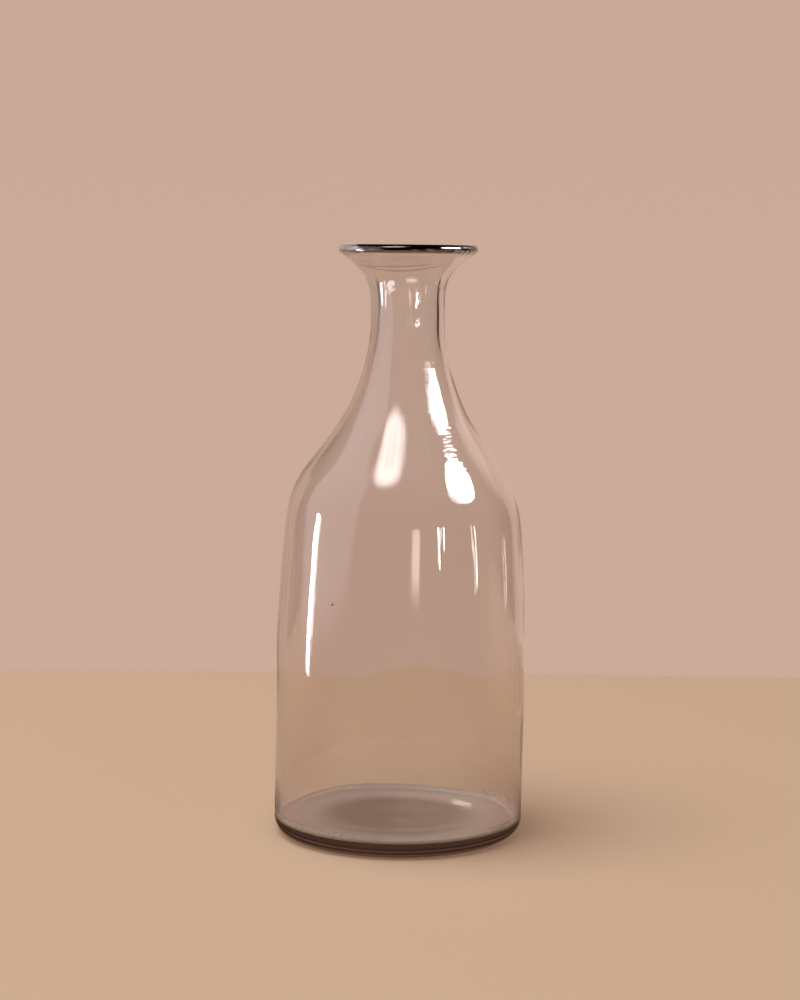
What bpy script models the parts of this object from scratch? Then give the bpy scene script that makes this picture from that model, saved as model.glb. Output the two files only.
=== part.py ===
"""A wine decanter of clear blown glass: a thick base, a thin body drawn in to a neck, and a rounded lip.

Metres, +Z up. The axis is Z, and the origin is the centre of the circle that the decanter stands on.
"""

import math

import bpy
from mathutils import Vector
from mathutils.geometry import interpolate_bezier

NAME = "wine_decanter"
STEPS = 64  # flats round the axis
GAP = 0.0003  # clearance between neighbouring pieces
MERGE = 0.00005

# Driving dimensions
HEIGHT = 0.2667
WALL_RADIUS = 0.0564
WALL = 0.0021  # thickness of the straight wall
WAIST_RADIUS = 0.01665
LIP_RADIUS = 0.0311

# The lip's bead and the flare that runs into it
BEAD_RADIUS = 0.00205
BEAD_CENTRE = Vector((LIP_RADIUS - BEAD_RADIUS, HEIGHT - BEAD_RADIUS))
FLARE_LEAN = -54.0
FLARE_THICKNESS = 0.0039
LIP_WIDTH = 0.0020  # straight glass between the bead and the seam with the flare
BEAD_END = 131.0  # where the bead's arc meets the flare's inner face

# The base
SEAM_HEIGHT = 0.0110
HEEL_RADIUS = 0.0075
FLOOR_HEIGHT = 0.0070
CORNER_RADIUS = 0.0015
FLOOR_RISE = 0.0004  # how far the middle of the floor is pushed up
FLOOR_RISE_FROM = 0.0440
FLOOR_RISE_TO = 0.0300
PUNT_HEIGHT = 0.0020  # the same push, seen underneath
PUNT_FROM = 0.0430
PUNT_TO = 0.0280

SPAN_POINTS = 7  # points along each curved span of the body
ROUND_POINTS = 6  # points along a quarter turn of the base


def leaning(degrees):
    """The direction up the glass where it leans inwards by this angle from upright."""
    return Vector((-math.sin(math.radians(degrees)), math.cos(math.radians(degrees))))


def inward(direction):
    """The direction through the glass, from its outer face to its inner face."""
    return Vector((-direction.y, direction.x))


FLARE = leaning(FLARE_LEAN)
LIP_SEAM = BEAD_CENTRE - inward(FLARE) * BEAD_RADIUS - FLARE * LIP_WIDTH
FLARE_EDGE = LIP_SEAM - FLARE * GAP

# The body's outer outline, from the wall up: radius, height, inward lean in degrees, thickness of the
# glass, and how far the curve's handles reach along the span that follows, as a share of its chord.
OUTLINE = (
    (WALL_RADIUS, 0.0784, 0.0, WALL, 0.32),  # top of the straight wall
    (0.0531, 0.1430, 6.7, 0.0023, 0.37),  # shoulder
    (0.0303, 0.1866, 32.9, 0.0029, 0.30),  # foot of the neck
    (WAIST_RADIUS, 0.2310, 0.0, 0.0036, 0.50),  # waist
    (FLARE_EDGE.x, FLARE_EDGE.y, FLARE_LEAN, FLARE_THICKNESS, 0.0),  # edge of the flare
)


def curve(start, start_direction, end, end_direction, reach, points):
    """Points of a smooth span between two knots, both ends included."""
    handle = (end - start).length * reach
    return interpolate_bezier(
        start, start + start_direction * handle, end - end_direction * handle, end, points
    )


def arc(centre, radius, start, end, points):
    """Points of a round stretch, from one angle to another in degrees, both ends included."""
    angles = [math.radians(start + (end - start) * i / (points - 1)) for i in range(points)]
    return [centre + radius * Vector((math.cos(a), math.sin(a))) for a in angles]


def body_face(depth):
    """The body's outline from its foot up, at no depth (0) or the full depth (1) of the glass."""
    knots = [
        (Vector((radius, height)) + inward(leaning(lean)) * thickness * depth, leaning(lean), reach)
        for radius, height, lean, thickness, reach in OUTLINE
    ]
    points = [Vector((knots[0][0].x, SEAM_HEIGHT + GAP))]
    for (start, up, reach), (end, end_up, _) in zip(knots, knots[1:]):
        points += curve(start, up, end, end_up, reach, SPAN_POINTS)[:-1]
    return points + [knots[-1][0]]


def turned(name, profile, closed, material, collection):
    """A solid of revolution. The profile runs down the outer side and ends on the axis or at its start."""
    count = len(profile)
    edges = [(i, i + 1) for i in range(count - 1)]
    if closed:
        edges.append((count - 1, 0))
    mesh = bpy.data.meshes.new(name)
    mesh.from_pydata([(point.x, 0.0, point.y) for point in profile], edges, [])
    mesh.materials.append(material)
    solid = bpy.data.objects.new(name, mesh)
    collection.objects.link(solid)
    screw = solid.modifiers.new("Turn", "SCREW")
    screw.axis = "Z"
    screw.steps = STEPS
    screw.render_steps = STEPS
    screw.use_merge_vertices = True
    screw.merge_threshold = MERGE
    screw.use_smooth_shade = True
    return solid


def glass(name, tint):
    """Clear glass, with the faint grey that the metal in it gives."""
    material = bpy.data.materials.new(name)
    material.use_nodes = True
    shader = material.node_tree.nodes["Principled BSDF"]
    shader.inputs["Base Color"].default_value = (*tint, 1.0)
    shader.inputs["Metallic"].default_value = 0.0
    shader.inputs["Roughness"].default_value = 0.02
    shader.inputs["IOR"].default_value = 1.52
    shader.inputs["Transmission Weight"].default_value = 1.0
    return material


def base(collection):
    """The thick floor, with the rounded heel, the standing ring and the start of the wall."""
    inner_radius = WALL_RADIUS - WALL
    rise = FLOOR_HEIGHT + FLOOR_RISE
    outwards = Vector((1.0, 0.0))
    corner = Vector((inner_radius - CORNER_RADIUS, FLOOR_HEIGHT + CORNER_RADIUS))
    heel = Vector((WALL_RADIUS - HEEL_RADIUS, HEEL_RADIUS))
    profile = [Vector((0.0, rise))]
    profile += curve(
        Vector((FLOOR_RISE_TO, rise)), outwards, Vector((FLOOR_RISE_FROM, FLOOR_HEIGHT)), outwards, 0.4, 5
    )
    profile += arc(corner, CORNER_RADIUS, -90.0, 0.0, ROUND_POINTS)
    profile += [Vector((inner_radius, SEAM_HEIGHT)), Vector((WALL_RADIUS, SEAM_HEIGHT))]
    profile += arc(heel, HEEL_RADIUS, 0.0, -90.0, ROUND_POINTS)
    profile += curve(
        Vector((PUNT_FROM, 0.0)), -outwards, Vector((PUNT_TO, PUNT_HEIGHT)), -outwards, 0.4, 5
    )
    profile += [Vector((0.0, PUNT_HEIGHT))]
    return turned("base", profile, False, glass("base_glass", (0.93, 0.93, 0.95)), collection)


def body(collection):
    """The blown bubble: straight wall, shoulder, neck and flare."""
    down_outside = body_face(0.0)[::-1]
    up_inside = body_face(1.0)
    return turned(
        "body", down_outside + up_inside, True, glass("body_glass", (0.96, 0.96, 0.97)), collection
    )


def lip_ring(collection):
    """The bead of glass round the edge of the flare."""
    outer = LIP_SEAM
    inner = LIP_SEAM + inward(FLARE) * FLARE_THICKNESS
    profile = arc(BEAD_CENTRE, BEAD_RADIUS, BEAD_END, 90.0, ROUND_POINTS)
    profile += arc(BEAD_CENTRE, BEAD_RADIUS, 90.0, FLARE_LEAN, ROUND_POINTS + 3)[1:]
    profile += [outer, inner]
    return turned("lip_ring", profile, True, glass("lip_glass", (0.90, 0.90, 0.92)), collection)


def main():
    for old in list(bpy.data.objects):
        bpy.data.objects.remove(old)
    collection = bpy.data.collections.new(NAME)
    bpy.context.scene.collection.children.link(collection)
    base(collection)
    body(collection)
    lip_ring(collection)


main()
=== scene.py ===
"""The looks of the wine decanter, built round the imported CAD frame: clear, hand-blown glass.

The base, the body and the lip ring each stay a piece of their own. They meet in clear seams inside the
glass, so that light runs through them as through the one fused article that the real decanter is.
"""

import math

import bpy
import numpy as np
from mathutils import Matrix, Quaternion, Vector


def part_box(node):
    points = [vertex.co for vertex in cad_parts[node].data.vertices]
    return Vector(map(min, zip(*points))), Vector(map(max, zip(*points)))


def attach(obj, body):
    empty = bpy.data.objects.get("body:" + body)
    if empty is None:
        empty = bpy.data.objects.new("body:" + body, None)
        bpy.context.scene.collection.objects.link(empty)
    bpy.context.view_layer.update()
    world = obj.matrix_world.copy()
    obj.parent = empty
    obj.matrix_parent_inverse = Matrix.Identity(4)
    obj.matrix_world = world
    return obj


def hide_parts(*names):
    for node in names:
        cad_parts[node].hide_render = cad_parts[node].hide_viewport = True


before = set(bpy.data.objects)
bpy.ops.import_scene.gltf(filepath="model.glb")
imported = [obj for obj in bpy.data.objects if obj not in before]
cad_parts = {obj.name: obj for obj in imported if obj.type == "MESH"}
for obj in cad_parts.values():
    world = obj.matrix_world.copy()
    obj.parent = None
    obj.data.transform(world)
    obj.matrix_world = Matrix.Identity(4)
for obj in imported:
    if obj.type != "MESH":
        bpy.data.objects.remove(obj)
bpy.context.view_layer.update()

MM = 0.001
COLUMNS = 256  # quads round the axis

BASE_LOW, BASE_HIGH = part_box("base")
BODY_LOW, BODY_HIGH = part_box("body")
LIP_LOW, LIP_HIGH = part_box("lip_ring")

# ---------------------------------------------------------------------------------------------------
# Driving dimensions, in metres
# ---------------------------------------------------------------------------------------------------
HEIGHT = LIP_HIGH.z
WALL_RADIUS = BASE_HIGH.x
LIP_RADIUS = LIP_HIGH.x
BASE_SEAM = (BASE_HIGH.z + BODY_LOW.z) / 2
FUSE_GAP = 0.01 * MM  # keeps the faces of a fused seam apart

WALL = 2.1 * MM
WAIST_RADIUS = 16.65 * MM
BEAD_RADIUS = 2.05 * MM
FLARE_LEAN = -54.0
FLARE_THICKNESS = 3.9 * MM
LIP_WIDTH = 2.15 * MM
BEAD_END = 131.0

HEEL_RADIUS = 7.5 * MM
FLOOR_HEIGHT = 7.0 * MM
CORNER_RADIUS = 1.5 * MM
FLOOR_RISE = 0.4 * MM
FLOOR_RISE_FROM = 44.0 * MM
FLOOR_RISE_TO = 30.0 * MM
PUNT_HEIGHT = 2.0 * MM
PUNT_FROM = 43.0 * MM
PUNT_TO = 28.0 * MM

# ---------------------------------------------------------------------------------------------------
# The section of the glass: (radius, height) points, from the middle of the underside, up the outer
# face, over the lip and down the inner face to the middle of the floor
# ---------------------------------------------------------------------------------------------------


def leaning(degrees):
    """The direction up the glass where it leans inwards by this angle from upright."""
    return np.array((-math.sin(math.radians(degrees)), math.cos(math.radians(degrees))))


def inward(direction):
    """The direction through the glass, from its outer face to its inner face."""
    return np.array((-direction[1], direction[0]))


def line(start, end, count):
    """Evenly spaced points from start to end, without the end."""
    steps = np.linspace(0.0, 1.0, count, endpoint=False)[:, None]
    return np.array(start) * (1 - steps) + np.array(end) * steps


def curve(start, start_direction, end, end_direction, reach, count):
    """Points of a smooth span between two knots, without the end."""
    start, end = np.array(start), np.array(end)
    handle = np.linalg.norm(end - start) * reach
    first, second = start + start_direction * handle, end - end_direction * handle
    t = np.linspace(0.0, 1.0, count, endpoint=False)[:, None]
    return (1 - t) ** 3 * start + 3 * (1 - t) ** 2 * t * first + 3 * (1 - t) * t * t * second + t**3 * end


def arc(centre, radius, start, end, count):
    """Points of a round stretch between two angles in degrees, without the end."""
    angles = np.radians(np.linspace(start, end, count, endpoint=False))
    return np.array(centre) + radius * np.stack((np.cos(angles), np.sin(angles)), axis=1)


FLARE = leaning(FLARE_LEAN)
BEAD_CENTRE = np.array((LIP_RADIUS - BEAD_RADIUS, HEIGHT - BEAD_RADIUS))
FLARE_EDGE = BEAD_CENTRE - inward(FLARE) * BEAD_RADIUS - FLARE * LIP_WIDTH

# Radius, height, inward lean, thickness of the glass, and reach of the curve's handles up to the next.
OUTLINE = (
    (WALL_RADIUS, 78.4 * MM, 0.0, WALL, 0.32),
    (53.1 * MM, 143.0 * MM, 6.7, 2.3 * MM, 0.37),
    (30.3 * MM, 186.6 * MM, 32.9, 2.9 * MM, 0.30),
    (WAIST_RADIUS, 231.0 * MM, 0.0, 3.6 * MM, 0.50),
    (FLARE_EDGE[0], FLARE_EDGE[1], FLARE_LEAN, FLARE_THICKNESS, 0.0),
)
SPAN_ROWS = (26, 28, 26, 26)


def body_face(depth):
    """The body's face from the base seam up to the flare's edge, at this share of the glass's depth."""
    knots = [
        (np.array((radius, height)) + inward(leaning(lean)) * thickness * depth, leaning(lean), reach)
        for radius, height, lean, thickness, reach in OUTLINE
    ]
    spans = [line((knots[0][0][0], BASE_SEAM + FUSE_GAP), knots[0][0], 30)]
    for (start, up, reach), (end, end_up, _), rows in zip(knots, knots[1:], SPAN_ROWS):
        spans.append(curve(start, up, end, end_up, reach, rows))
    return np.vstack(spans + [knots[-1][0][None]])


def underside():
    """From the middle of the underside, over the standing ring and round the heel, to the base seam."""
    outwards = np.array((1.0, 0.0))
    heel = (WALL_RADIUS - HEEL_RADIUS, HEEL_RADIUS)
    top = (WALL_RADIUS, BASE_SEAM - FUSE_GAP)
    return np.vstack(
        (
            line((0.0, PUNT_HEIGHT), (PUNT_TO, PUNT_HEIGHT), 12),
            curve((PUNT_TO, PUNT_HEIGHT), outwards, (PUNT_FROM, 0.0), outwards, 0.4, 14),
            line((PUNT_FROM, 0.0), (heel[0], 0.0), 5),
            arc(heel, HEEL_RADIUS, -90.0, 0.0, 20),
            line((WALL_RADIUS, HEEL_RADIUS), top, 4),
            [top],
        )
    )


def floor_face():
    """From the base seam down the inner face, round the corner, to the middle of the floor."""
    inner = WALL_RADIUS - WALL
    inwards = np.array((-1.0, 0.0))
    corner = (inner - CORNER_RADIUS, FLOOR_HEIGHT + CORNER_RADIUS)
    rise = FLOOR_HEIGHT + FLOOR_RISE
    return np.vstack(
        (
            line((inner, BASE_SEAM - FUSE_GAP), (inner, corner[1]), 3),
            arc(corner, CORNER_RADIUS, 0.0, -90.0, 16),
            line((corner[0], FLOOR_HEIGHT), (FLOOR_RISE_FROM, FLOOR_HEIGHT), 3),
            curve((FLOOR_RISE_FROM, FLOOR_HEIGHT), inwards, (FLOOR_RISE_TO, rise), inwards, 0.4, 14),
            line((FLOOR_RISE_TO, rise), (0.0, rise), 12),
            [(0.0, rise)],
        )
    )


def lip_face():
    """From the outer seam, round the bead, to the inner seam."""
    tangent = FLARE_EDGE + FLARE * LIP_WIDTH
    outer_seam = FLARE_EDGE + FLARE * FUSE_GAP
    inner_seam = outer_seam + inward(FLARE) * FLARE_THICKNESS
    end_angle = math.radians(BEAD_END)
    bead_end = BEAD_CENTRE + BEAD_RADIUS * np.array((math.cos(end_angle), math.sin(end_angle)))
    return np.vstack(
        (
            line(outer_seam, tangent, 4),
            arc(BEAD_CENTRE, BEAD_RADIUS, FLARE_LEAN, BEAD_END, 40),
            line(bead_end, inner_seam, 4),
            [inner_seam],
        )
    )


# ---------------------------------------------------------------------------------------------------
# The irregularity of hand-blown glass: every point of the section is moved a little, by waves round
# the axis and along the height, so that the faces are no longer quite true
# ---------------------------------------------------------------------------------------------------
TURN = 2 * math.pi
LEAN = 0.0100  # the axis leans towards +X by this much per metre of height

# Where the axis wanders off its line: the middle of each bend, how far along X, and how long it is.
WANDER = (
    (88 * MM, -0.30 * MM, 16 * MM),
    (162 * MM, -0.90 * MM, 11 * MM),
    (203 * MM, 0.25 * MM, 10 * MM),
    (254 * MM, -0.55 * MM, 12 * MM),
)

STILL_RADIUS = 20 * MM  # the glass moves less and less inside this radius
STILL_HEIGHT = (3 * MM, 16 * MM)  # it is still below the first height and moves in full from the second
LIP_REACH = 14 * MM  # from this far below the top it moves less and less
LIP_STILLNESS = 0.7

rng = np.random.default_rng(7)


def waves(count, around, lengths, amplitude):
    """Random waves: times each repeats round the axis, radians per metre of height, phases and size."""
    return [
        (
            int(rng.integers(around[0], around[1] + 1)),
            TURN / rng.uniform(*lengths),
            rng.uniform(0, TURN),
            rng.uniform(0, TURN),
            amplitude * rng.uniform(0.5, 1.0) / math.sqrt(count),
        )
        for _ in range(count)
    ]


SWELL = waves(7, (2, 4), (0.09, 0.25), 0.20 * MM)
THICKNESS_SWELL = waves(9, (1, 6), (0.05, 0.20), 0.28 * MM)
RIPPLE = waves(14, (9, 26), (0.05, 0.16), 0.030 * MM)
CORD = waves(26, (30, 78), (0.09, 0.30), 0.010 * MM)
INNER_CORD = waves(26, (30, 78), (0.09, 0.30), 0.014 * MM)


def total(waves_list, angle, height):
    """The sum of these waves at this angle and height."""
    shift = np.zeros(np.broadcast(angle, height).shape)
    for around, along, phase, along_phase, amplitude in waves_list:
        shift += amplitude * np.cos(around * angle + phase) * np.cos(along * height + along_phase)
    return shift


def smooth(low, high, value):
    """0 up to low and 1 from high, rising smoothly."""
    t = np.clip((value - low) / (high - low), 0.0, 1.0)
    return t * t * (3 - 2 * t)


def axis_at(height):
    """How far the axis stands from the origin along X at this height."""
    away = LEAN * height
    for middle, shift, length in WANDER:
        away = away + shift * np.exp(-(((height - middle) / length) ** 2))
    return away


def turned(section, depth):
    """The section turned into rows of points, at this depth: 0 on the outer face and 1 on the inner."""
    angle = np.linspace(0.0, TURN, COLUMNS, endpoint=False)[None, :]
    radius, height = section[:, 0:1], section[:, 1:2]
    ease = smooth(0.0, STILL_RADIUS, radius) * smooth(*STILL_HEIGHT, height)
    ease = ease * (1 - LIP_STILLNESS * smooth(HEIGHT - LIP_REACH, HEIGHT, height))
    shared = total(SWELL, angle, height)
    outer = shared + total(RIPPLE, angle, height) + total(CORD, angle, height)
    inner = shared - total(THICKNESS_SWELL, angle, height) + total(INNER_CORD, angle, height)
    radius = radius + (outer * (1 - depth) + inner * depth) * ease
    x = radius * np.cos(angle) + axis_at(height)
    y = radius * np.sin(angle)
    return np.stack((x, y, np.broadcast_to(height, x.shape)), axis=2)


# ---------------------------------------------------------------------------------------------------
# Materials
# ---------------------------------------------------------------------------------------------------


class Graph:
    """A short way of joining shader nodes. A socket takes a number, a colour or another node's output."""

    def __init__(self, tree):
        self.tree = tree
        tree.nodes.clear()

    def put(self, socket, value):
        if isinstance(value, bpy.types.NodeSocket):
            self.tree.links.new(value, socket)
        elif isinstance(value, tuple) and socket.type == "RGBA":
            socket.default_value = (*value, 1.0)
        else:
            socket.default_value = value

    def node(self, kind, inputs, output=0, **settings):
        """A new node with these settings and inputs, by name or number; gives its output back."""
        node = self.tree.nodes.new("ShaderNode" + kind)
        for name, value in settings.items():
            setattr(node, name, value)
        for name, value in inputs.items():
            self.put(node.inputs[name], value)
        return node.outputs[output]

    def math(self, operation, *values):
        return self.node("Math", dict(enumerate(values)), operation=operation)

    def product(self, *factors):
        result = factors[0]
        for factor in factors[1:]:
            result = self.math("MULTIPLY", result, factor)
        return result

    def vector(self, *values):
        return self.node("CombineXYZ", dict(enumerate(values)))

    def step(self, value, none, full):
        """0 up to the value none and 1 from the value full, or the other way round, rising smoothly."""
        ends = {"From Min": none, "From Max": full}
        if none > full:
            ends = {"From Min": full, "From Max": none, "To Min": 1.0, "To Max": 0.0}
        return self.node("MapRange", {"Value": value, **ends}, interpolation_type="SMOOTHSTEP")

    def band(self, value, start, full, fading, gone):
        """1 between full and fading, and 0 before start and after gone."""
        return self.product(self.step(value, start, full), self.step(value, gone, fading))

    def blend(self, factor, first, second):
        return self.node("Mix", {0: factor, 6: first, 7: second}, 2, data_type="RGBA")

    def mix(self, factor, first, second):
        return self.node("MixShader", {0: factor, 1: first, 2: second})

    def split(self, vector):
        node = self.tree.nodes.new("ShaderNodeSeparateXYZ")
        self.put(node.inputs[0], vector)
        return node.outputs[0], node.outputs[1], node.outputs[2]

    def reflected(self):
        """1 for light that a face of the glass has turned back on its way, and 0 for any other."""
        depth = self.node("LightPath", {}, "Glossy Depth")
        return self.math("MINIMUM", depth, 1.0)

    def surface(self, shader, volume=None):
        output = self.tree.nodes.new("ShaderNodeOutputMaterial")
        self.put(output.inputs["Surface"], shader)
        if volume:
            self.put(output.inputs["Volume"], volume)


def new_material(name, kind=Graph):
    material = bpy.data.materials.new(name)
    material.use_nodes = True
    return material, kind(material.node_tree)


IOR = 1.5
CORD_DEPTH = 0.040 * MM  # fine cords that run up the glass
NECK_CORD_DEPTH = 0.10 * MM  # closer cords in the neck
MARK_DEPTH = 0.10 * MM  # turning marks that run round the shoulder
LUMP_DEPTH = 0.40 * MM  # lumps at both sides of the lip

# Where marks and the warm tint start, are in full, start to fade and are gone: heights, and the front's
# share of the way towards +X.
NECK_BAND = (196 * MM, 212 * MM, 228 * MM, 244 * MM)
SHOULDER_BAND = (164 * MM, 174 * MM, 208 * MM, 222 * MM)
WARM_TINT_BAND = (7 * MM, 14 * MM, 140 * MM, 175 * MM)
MIST_BAND = (8 * MM, 12 * MM, 20 * MM, 95 * MM)
FRONT_BAND = (0.0, 0.15, 0.68, 0.80)

WARM_TINT = (0.962, 0.944, 0.930)  # a faint warm tint over the body
# painted shade, for the two dark lines across the flare
FOLD_SHADE = (0.60, 0.46, 0.38)
# a painted reflection of a brown floor, for the dark line along the lip's lower edge
LIP_EDGE_REFLECTION = (0.15, 0.065, 0.04)
SPECK_TINT = (0.10, 0.08, 0.07)
LEES = (0.97, 0.88, 0.84)  # the tint of the hazy floor
MIST = (0.96, 0.88, 0.84)  # and of the mist low on the sides
UNDERSIDE_SHADE = (0.50, 0.37, 0.30)  # painted shade: the dark tint of the underside
DEEP_TINT = (0.60, 0.51, 0.47)  # what thick glass leaves of red, green and blue light
TINT_DENSITY = 25.0
BASE_TINT_DENSITY = 44.0

MIST_DULLNESS = 0.14
UNDER_DULLNESS = 0.35
WORN_ROUGHNESS = 0.30
HAZE = 0.09  # how dull the middle of the floor is
OUTER_HAZE = 0.46  # how much more so further out
RIM_HAZE = 0.30  # and how much more again at its rim
SPECKLE_SCALE = 1700.0
SEAM_MAP = "fused_seam"

# Painted dark lines round the front: two across the flare are painted shade, and one along the lip's
# lower edge is a painted reflection of a brown floor. Lowest height, how much they rise to the sides,
# how far to the left their lowest point lies, half width, and tint.
SHADE_LINES = (
    (257.0 * MM, 1.6 * MM, 0.30, 0.42 * MM, FOLD_SHADE),
    (255.1 * MM, 4.2 * MM, 0.10, 0.42 * MM, FOLD_SHADE),
    (263.45 * MM, 0.0, 0.0, 0.90 * MM, LIP_EDGE_REFLECTION),
)

# The flare's inner and outer faces are told apart by radius less height: none, and all, of the outer.
OUTER_FLARE = (-236.5 * MM, -236.0 * MM)

# Specks of ash in the outer face: bearing from the front towards +X in degrees, height, and radius.
SPECKS = (
    (-33.0, 111 * MM, 0.80 * MM),
    (-41.0, 174 * MM, 0.45 * MM),
)


def on_outer_face(bearing, height):
    """The place on the body's outer face at this bearing and height."""
    face = body_face(0.0)
    radius = np.interp(height, face[:, 1], face[:, 0])
    angle = math.radians(bearing)
    return axis_at(height) + radius * math.sin(angle), -radius * math.cos(angle), height


class GlassGraph(Graph):
    """The nodes of a glass material, with where they are on the glass.

    east and north are the shares of the radius that lie along +X and +Y, and aside is east unsigned."""

    def __init__(self, tree):
        super().__init__(tree)
        self.place = self.node("TexCoord", {}, "Object")
        x, y, self.z = self.split(self.place)
        squares = self.math("ADD", self.math("MULTIPLY", x, x), self.math("MULTIPLY", y, y))
        self.radius = self.math("MAXIMUM", self.math("SQRT", squares), 1 * MM)
        self.east = self.math("DIVIDE", x, self.radius)
        self.north = self.math("DIVIDE", y, self.radius)
        self.aside = self.math("ABSOLUTE", self.east)

    def noise(self, around, along, detail):
        """Noise that varies round the axis and up it at these rates."""
        east, north = self.product(self.east, around), self.product(self.north, around)
        where = self.vector(east, north, self.product(self.z, along))
        return self.node("TexNoise", {"Vector": where, "Scale": 1.0, "Detail": detail})


def relief(graph, lumpy):
    """The bump of the cords and the turning marks, and of the lumps where the glass is lumpy."""
    front = graph.product(graph.band(graph.east, *FRONT_BAND), graph.step(graph.north, 0.0, -0.1))
    shoulder = graph.product(graph.band(graph.z, *SHOULDER_BAND), front)
    neck = graph.product(graph.band(graph.z, *NECK_BAND), front)
    cords = graph.product(graph.noise(11.0, 9.0, 3.0), CORD_DEPTH)
    marks = graph.product(graph.noise(5.0, 850.0, 1.0), shoulder, MARK_DEPTH)
    neck_cords = graph.product(graph.noise(17.0, 60.0, 1.0), neck, NECK_CORD_DEPTH)
    height = graph.math("ADD", cords, graph.math("ADD", marks, neck_cords))
    if lumpy:
        ends = graph.step(graph.aside, 0.62, 0.80)
        lumps = graph.product(graph.noise(22.0, 700.0, 1.0), ends, LUMP_DEPTH)
        height = graph.math("ADD", height, lumps)
    return graph.node("Bump", {"Height": height, "Distance": 1.0, "Strength": 1.0})


def tint_and_painted_lines(graph):
    """The colour of the glass with its warm tint, the painted shade and painted reflection of the dark lines
    round its mouth, and the specks.
    """
    colour = graph.blend(graph.band(graph.z, *WARM_TINT_BAND), (1.0, 1.0, 1.0), WARM_TINT)
    front = graph.step(graph.north, 0.0, -0.3)
    outer = graph.step(graph.math("SUBTRACT", graph.radius, graph.z), *OUTER_FLARE)
    for lowest, rise, left, half, tint in SHADE_LINES:
        across = graph.math("ADD", graph.east, left)
        shade_line = graph.math("ADD", graph.product(across, across, rise), lowest)
        off = graph.math("ABSOLUTE", graph.math("SUBTRACT", graph.z, shade_line))
        near = graph.step(off, half, half * 0.3)
        ends = graph.step(graph.math("ABSOLUTE", across), 1.0, 0.6)
        # paint the lines into the colour of the front: painted shade across the flare, a painted reflection
        # under the lip
        colour = graph.blend(graph.product(near, front, ends, outer), colour, tint)
    for bearing, level, size in SPECKS:
        ends = {0: graph.place, 1: on_outer_face(bearing, level)}
        gap = graph.node("VectorMath", ends, "Value", operation="DISTANCE")
        colour = graph.blend(graph.step(gap, size, size * 0.5), colour, SPECK_TINT)
    return colour


def wear_and_shade(graph, colour, dull):
    """The colour, roughness and dullness of a base with scuffs, a hazy floor and an underside darkened by
    painted shade.
    """
    inside = graph.product(
        graph.step(graph.z, 5.0 * MM, 5.6 * MM), graph.step(graph.radius, 55.6 * MM, 55.1 * MM)
    )
    speckle = graph.node("TexNoise", {"Scale": SPECKLE_SCALE, "Detail": 2.0, "Vector": graph.place})
    left = graph.product(graph.step(graph.east, -0.25, -0.50), graph.step(graph.north, 0.2, -0.1))
    patches = graph.math("MAXIMUM", left, graph.step(graph.east, 0.68, 0.86))
    corner = graph.product(
        graph.step(graph.radius, 50 * MM, 52.5 * MM), graph.step(graph.z, 11.5 * MM, 9.5 * MM)
    )
    scuffs = graph.product(graph.step(speckle, 0.42, 0.50), graph.product(corner, inside, patches))
    floor = graph.product(inside, graph.step(graph.z, 9.0 * MM, 8.0 * MM))
    under = graph.step(graph.z, 2.6 * MM, 2.1 * MM)
    rough = (graph.product(share, WORN_ROUGHNESS) for share in (scuffs, under))
    roughness = graph.math("MAXIMUM", *rough)
    haze = graph.product(graph.step(graph.radius, 24 * MM, 42 * MM), OUTER_HAZE)
    haze = graph.math("ADD", haze, HAZE)
    rim = graph.product(graph.step(graph.radius, 51.4 * MM, 52.6 * MM), RIM_HAZE)
    haze = graph.math("ADD", haze, rim)
    for share in (scuffs, graph.product(floor, haze), graph.product(under, UNDER_DULLNESS)):
        dull = graph.math("MAXIMUM", dull, share)
    # the underside's dark brown tint is painted shade; its dullness and roughness are wear
    colour = graph.blend(floor, graph.blend(under, colour, UNDERSIDE_SHADE), LEES)
    return colour, roughness, dull


def through_shadow_and_seams(graph, shader):
    """The shader, with a soft shadow, and with nothing at the faces that the seam map marks."""
    facing = graph.node("LayerWeight", {"Blend": 0.35}, "Facing")
    shade = graph.node("MapRange", {"Value": facing, "To Min": 0.93, "To Max": 0.35})
    passing = graph.node("BsdfTransparent", {"Color": shade})
    shadow = graph.node("LightPath", {}, "Is Shadow Ray")
    shader = graph.mix(shadow, shader, passing)
    seam, _, _ = graph.split(graph.node("UVMap", {}, uv_map=SEAM_MAP))
    return graph.mix(seam, shader, graph.node("BsdfTransparent", {}))


def glass(name, worn_and_shaded=False, lumpy=False):
    """Clear glass with the cords and marks of its making. Worn glass has haze and scuffs low down, and an
    underside darkened by painted shade.
    """
    material, graph = new_material(name, GlassGraph)
    mist = graph.product(graph.band(graph.z, *MIST_BAND), graph.step(graph.aside, 0.40, 0.95))
    colour = graph.blend(mist, tint_and_painted_lines(graph), MIST)
    roughness, dull = 0.0, graph.product(mist, MIST_DULLNESS)
    if worn_and_shaded:
        colour, roughness, dull = wear_and_shade(graph, colour, dull)
    shader = graph.node(
        "BsdfPrincipled",
        {
            "Base Color": colour,
            "Roughness": roughness,
            "IOR": IOR,
            "Transmission Weight": graph.math("SUBTRACT", 1.0, dull),
            "Normal": relief(graph, lumpy),
        },
    )
    density = BASE_TINT_DENSITY if worn_and_shaded else TINT_DENSITY
    depth = graph.node("VolumeAbsorption", {"Color": DEEP_TINT, "Density": density})
    graph.surface(through_shadow_and_seams(graph, shader), depth)
    return material


BASE_GLASS = glass("clear_base", worn_and_shaded=True)
BODY_GLASS = glass("clear_body")
LIP_GLASS = glass("clear_lip", lumpy=True)

# ---------------------------------------------------------------------------------------------------
# The pieces
# ---------------------------------------------------------------------------------------------------


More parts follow.
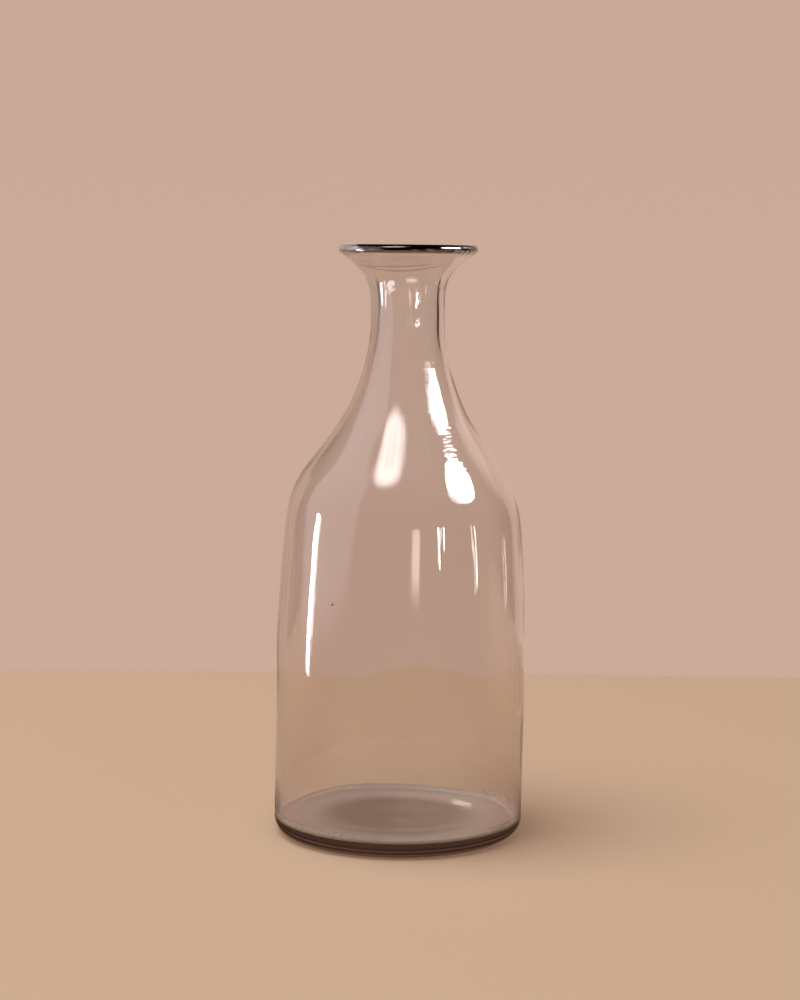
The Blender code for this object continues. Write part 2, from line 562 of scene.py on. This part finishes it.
def grid(first, count):
    """Quads between this many rows of points, the first of which starts at this index."""
    faces = []
    for low in range(first, first + (count - 1) * COLUMNS, COLUMNS):
        for j in range(COLUMNS):
            k = (j + 1) % COLUMNS
            faces.append((low + j, low + k, low + COLUMNS + k, low + COLUMNS + j))
    return faces


def join(ring, other):
    """Quads that close the glass between two rings of points."""
    faces = []
    for j in range(COLUMNS):
        k = (j + 1) % COLUMNS
        faces.append((ring + j, ring + k, other + k, other + j))
    return faces


def fan(ring, centre):
    """Triangles that close a ring of points at its centre."""
    return [(ring + j, ring + (j + 1) % COLUMNS, centre) for j in range(COLUMNS)]


def add_piece(name, points, faces, seams, material, replaces):
    """A closed piece of glass. Light meets no face at its fused seams, which the seam map marks with 1."""
    mesh = bpy.data.meshes.new(name)
    mesh.from_pydata([tuple(point) for point in points], [], faces + seams)
    mesh.materials.append(material)
    marks = mesh.uv_layers.new(name=SEAM_MAP)
    first = sum(len(face) for face in faces)
    marks.data.foreach_set("uv", [0.0, 0.0] * first + [1.0, 0.0] * (len(mesh.loops) - first))
    mesh.shade_smooth()
    mesh.set_sharp_from_angle(angle=math.radians(50))
    piece = bpy.data.objects.new(name, mesh)
    bpy.context.scene.collection.objects.link(piece)
    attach(piece, "root")
    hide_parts(replaces)


def make_base():
    under, floor = underside(), floor_face()
    low, high = under[0], floor[-1]
    under_rows, floor_rows = turned(under[1:], 0.0), turned(floor[:-1], 1.0)
    floor_start = len(under_rows) * COLUMNS
    last_row = floor_start + (len(floor_rows) - 1) * COLUMNS
    centre = last_row + COLUMNS
    middles = [(axis_at(low[1]), 0.0, low[1]), (axis_at(high[1]), 0.0, high[1])]
    points = np.vstack((under_rows.reshape(-1, 3), floor_rows.reshape(-1, 3), middles))
    faces = grid(0, len(under_rows)) + grid(floor_start, len(floor_rows))
    faces += [face[::-1] for face in fan(0, centre)] + fan(last_row, centre + 1)
    seams = join(floor_start - COLUMNS, floor_start)
    add_piece("decanter_base", points, faces, seams, BASE_GLASS, "base")


def make_body():
    outer, inner = turned(body_face(0.0), 0.0), turned(body_face(1.0)[::-1], 1.0)
    inner_start = len(outer) * COLUMNS
    points = np.vstack((outer.reshape(-1, 3), inner.reshape(-1, 3)))
    faces = grid(0, len(outer)) + grid(inner_start, len(inner))
    seams = join(inner_start - COLUMNS, inner_start)
    seams += join(inner_start + (len(inner) - 1) * COLUMNS, 0)
    add_piece("decanter_body", points, faces, seams, BODY_GLASS, "body")


def make_lip():
    section = lip_face()
    steps = np.linalg.norm(np.diff(section, axis=0), axis=1)
    depth = smooth(0.0, 1.0, np.concatenate(([0.0], np.cumsum(steps))) / steps.sum())[:, None]
    rows = turned(section, depth)
    seams = join((len(rows) - 1) * COLUMNS, 0)
    points, faces = rows.reshape(-1, 3), grid(0, len(rows))
    add_piece("decanter_lip", points, faces, seams, LIP_GLASS, "lip_ring")


make_base()
make_body()
make_lip()

# ---------------------------------------------------------------------------------------------------
# Stage: a pale floor that glows with painted shade and a painted reflection in what the glass turns back,
# and a world that is a plain warm backdrop to what passes straight through the glass, and a dim room with
# windows to what the glass turns back
# ---------------------------------------------------------------------------------------------------
FLOOR_COLOUR = (0.62, 0.46, 0.335)
# painted shade and a painted reflection: the glowing colours of the floor in what the glass turns back, dark
# near the glass and paler further back
FLOOR_IN_GLASS = (0.100, 0.055, 0.033)
FAR_FLOOR_IN_GLASS = (0.50, 0.33, 0.22)
BACK_EDGE = 0.39
FLOOR_REACH = 5.0
FAR_AWAY = (0.05, 0.16)  # the floor in the glass gets paler between these distances from the origin
FAR_BACK = (-0.16, 0.10)  # and between these places along Y
FLOOR_DROP = -0.05 * MM  # keeps the floor off the face of the glass

BACKDROP_LOW = (0.60, 0.405, 0.320)
BACKDROP_HIGH = (0.560, 0.366, 0.280)
CEILING = (0.012, 0.009, 0.008)
WALL_BEHIND_LEFT = (0.52, 0.355, 0.275)
WALL_BEHIND_RIGHT = (0.66, 0.45, 0.355)
DIM_ROOM = (0.022, 0.012, 0.008)

# Degrees of elevation and of azimuth between which one part of the world gives way to the next
BACKDROP_FADE = (-5.0, 25.0)
CEILING_FADE = (30.0, 48.0)
WALL_SIDES = (129.0, 133.0)
WALL_TOP = (22.0, 15.0)
WALL_FADE = (-20.0, 20.0)


def add_stage(name, corners, material):
    mesh = bpy.data.meshes.new(name)
    mesh.from_pydata(corners, [], [tuple(range(len(corners)))])
    mesh.materials.append(material)
    thing = bpy.data.objects.new(name, mesh)
    bpy.context.scene.collection.objects.link(thing)
    return thing


def make_floor():
    material, graph = new_material("stage_floor")
    matt = {"Base Color": FLOOR_COLOUR, "Roughness": 0.9, "Specular IOR Level": 0.0}
    pale = graph.node("BsdfPrincipled", matt)
    place = graph.node("TexCoord", {}, "Object")
    away = graph.node("VectorMath", {0: place}, "Value", operation="LENGTH")
    _, back, _ = graph.split(place)
    far = graph.product(graph.step(away, *FAR_AWAY), graph.step(back, *FAR_BACK))
    turned_back = graph.blend(far, FLOOR_IN_GLASS, FAR_FLOOR_IN_GLASS)
    # in light the glass turns back the floor is not lit but glows: painted shade near the glass, a painted
    # reflection further back
    dark = graph.node("Emission", {"Color": turned_back})
    graph.surface(graph.mix(graph.reflected(), pale, dark))
    x, y0, y1, z = FLOOR_REACH, -FLOOR_REACH, BACK_EDGE, FLOOR_DROP
    add_stage("stage_floor", [(-x, y0, z), (x, y0, z), (x, y1, z), (-x, y1, z)], material)


def make_world():
    world = bpy.data.worlds.new("studio")
    world.use_nodes = True
    bpy.context.scene.world = world
    graph = Graph(world.node_tree)
    x, y, z = graph.split(graph.node("TexCoord", {}, "Generated"))
    elevation = graph.math("DEGREES", graph.math("ARCSINE", z))
    azimuth = graph.math("DEGREES", graph.math("ARCTAN2", x, graph.math("MULTIPLY", y, -1.0)))

    backdrop = graph.blend(graph.step(elevation, *BACKDROP_FADE), BACKDROP_LOW, BACKDROP_HIGH)
    backdrop = graph.blend(graph.step(elevation, *CEILING_FADE), backdrop, CEILING)

    aside = graph.math("ABSOLUTE", azimuth)
    behind = graph.step(aside, *WALL_SIDES)
    low = graph.step(elevation, *WALL_TOP)
    wall = graph.blend(graph.step(azimuth, *WALL_FADE), WALL_BEHIND_LEFT, WALL_BEHIND_RIGHT)
    room = graph.blend(graph.product(behind, low), DIM_ROOM, wall)

    seen = graph.blend(graph.reflected(), backdrop, room)
    output = graph.tree.nodes.new("ShaderNodeOutputWorld")
    graph.put(output.inputs["Surface"], graph.node("Background", {"Color": seen}))


# Windows and lamps that only the glass shows: name, azimuth from the camera towards +X in degrees,
# distance from the axis and height of the middle, half width and half height, turn in its own plane,
# how square it is (2 for an ellipse), how soft its edge is, how many faces of the glass its light may
# pass through, and colour times brightness.
LAMPS = (
    ("screen", -78.0, 0.435, 0.440, 0.310, 0.420, -6.0, 4, 0.22, 0, (1.40, 1.34, 1.58)),
    ("slit", -87.5, 0.390, 0.1177, 0.014, 0.1023, 0.0, 20, 0.02, 2, (60.0, 60.0, 60.0)),
    ("right_window", 74.5, 0.350, 0.434, 0.112, 0.084, 18.0, 2, 0.04, 9, (45.0, 45.0, 45.0)),
    ("overhead", -28.0, 0.205, 0.520, 0.122, 0.124, 0.0, 2, 0.98, 0, (27.0, 25.0, 24.5)),
    ("overhead_glow", -28.0, 0.206, 0.518, 0.112, 0.114, 0.0, 2, 0.95, 2, (9.0, 8.0, 7.6)),
    ("candle", 11.0, 0.500, 0.168, 0.046, 0.082, 0.0, 4, 0.55, 2, (5.0, 4.0, 3.8)),
    ("near_slit", 31.5, 0.500, 0.185, 0.009, 0.056, 0.0, 4, 0.10, 2, (45.0, 45.0, 45.0)),
    ("next_slit", 36.5, 0.500, 0.200, 0.007, 0.044, 8.0, 4, 0.10, 2, (45.0, 45.0, 45.0)),
    ("far_slit", 70.0, 0.500, 0.158, 0.006, 0.070, 0.0, 4, 0.20, 2, (25.0, 23.0, 22.0)),
    ("faint_slit", 108.0, 0.500, 0.093, 0.010, 0.048, 0.0, 4, 0.30, 2, (5.0, 3.6, 3.2)),
    ("glint", 172.9, 0.503, 0.102, 0.018, 0.013, 0.0, 3, 0.50, 9, (1.9, 1.65, 1.55)),
    ("side_wall", 126.0, 0.500, 0.450, 0.170, 0.190, 0.0, 2, 0.80, 0, (2.6, 2.0, 1.8)),
)
SHOULDER = Vector((0.0, 0.0, 0.17))


def lamp_material(name, squareness, soft, most_faces, colour):
    """It glows only in light the glass has turned back, and its corners lie at +-1."""
    material, graph = new_material(name)
    x, y, _ = graph.split(graph.node("TexCoord", {}, "Object"))
    across, up = (graph.math("POWER", graph.math("ABSOLUTE", value), squareness) for value in (x, y))
    out = graph.math("POWER", graph.math("ADD", across, up), 1.0 / squareness)
    faces_passed = graph.node("LightPath", {}, "Transmission Depth")
    near = graph.math("LESS_THAN", faces_passed, most_faces + 0.5)
    shown = graph.math("MULTIPLY", graph.step(out, 1.0, 1.0 - soft), graph.reflected())
    clear = graph.node("BsdfTransparent", {})
    lit = graph.node("Emission", {"Color": colour})
    graph.surface(graph.mix(graph.math("MULTIPLY", shown, near), clear, lit))
    material.cycles.emission_sampling = "NONE"
    return material


def make_lamps():
    corners = [(-1, -1, 0), (1, -1, 0), (1, 1, 0), (-1, 1, 0)]
    for name, azimuth, distance, height, half_width, half_height, turn, square, soft, faces, colour in LAMPS:
        lamp = add_stage(name, corners, lamp_material(name, square, soft, faces, colour))
        bearing = math.radians(azimuth)
        lamp.location = (distance * math.sin(bearing), -distance * math.cos(bearing), height)
        lamp.scale = (half_width, half_height, 1.0)
        aim = (SHOULDER if square == 2 else Vector((0.0, 0.0, height))) - lamp.location
        facing = aim.to_track_quat("Z", "Y") @ Quaternion((0.0, 0.0, 1.0), math.radians(turn))
        lamp.rotation_euler = facing.to_euler()
        lamp.visible_camera = False
        lamp.visible_diffuse = False
        lamp.visible_shadow = False


STUDIO_PLACE = (-1.0, -0.5, 4.0)
STUDIO_SIZE = 3.5
STUDIO_POWER = 156.0
STUDIO_COLOUR = (1.0, 0.97, 0.94)


def make_studio_light():
    data = bpy.data.lights.new("studio_light", "AREA")
    data.shape = "DISK"
    data.size = STUDIO_SIZE
    data.energy = STUDIO_POWER
    data.color = STUDIO_COLOUR
    light = bpy.data.objects.new("studio_light", data)
    bpy.context.scene.collection.objects.link(light)
    light.location = STUDIO_PLACE
    light.rotation_euler = (-light.location).to_track_quat("-Z", "Y").to_euler()
    light.visible_camera = False
    light.visible_glossy = False
    light.visible_transmission = False


make_floor()
make_world()
make_lamps()
make_studio_light()

# ---------------------------------------------------------------------------------------------------
# Camera
# ---------------------------------------------------------------------------------------------------
CAMERA_PLACE = (-0.0003, -1.0, 0.2585)
CAMERA_PITCH = 6.08
CAMERA_ROLL = 0.56
LENS = 80.0


def make_camera():
    data = bpy.data.cameras.new("camera")
    data.lens = LENS
    camera = bpy.data.objects.new("camera", data)
    bpy.context.scene.collection.objects.link(camera)
    camera.location = CAMERA_PLACE
    tilt = Matrix.Rotation(math.radians(90 - CAMERA_PITCH), 3, "X")
    camera.rotation_euler = (tilt @ Matrix.Rotation(math.radians(CAMERA_ROLL), 3, "Z")).to_euler()
    bpy.context.scene.camera = camera


make_camera()

scene = bpy.context.scene
scene.view_settings.view_transform = "Standard"
scene.cycles.max_bounces = 15
scene.cycles.transmission_bounces = 15
scene.cycles.glossy_bounces = 11
scene.cycles.transparent_max_bounces = 60
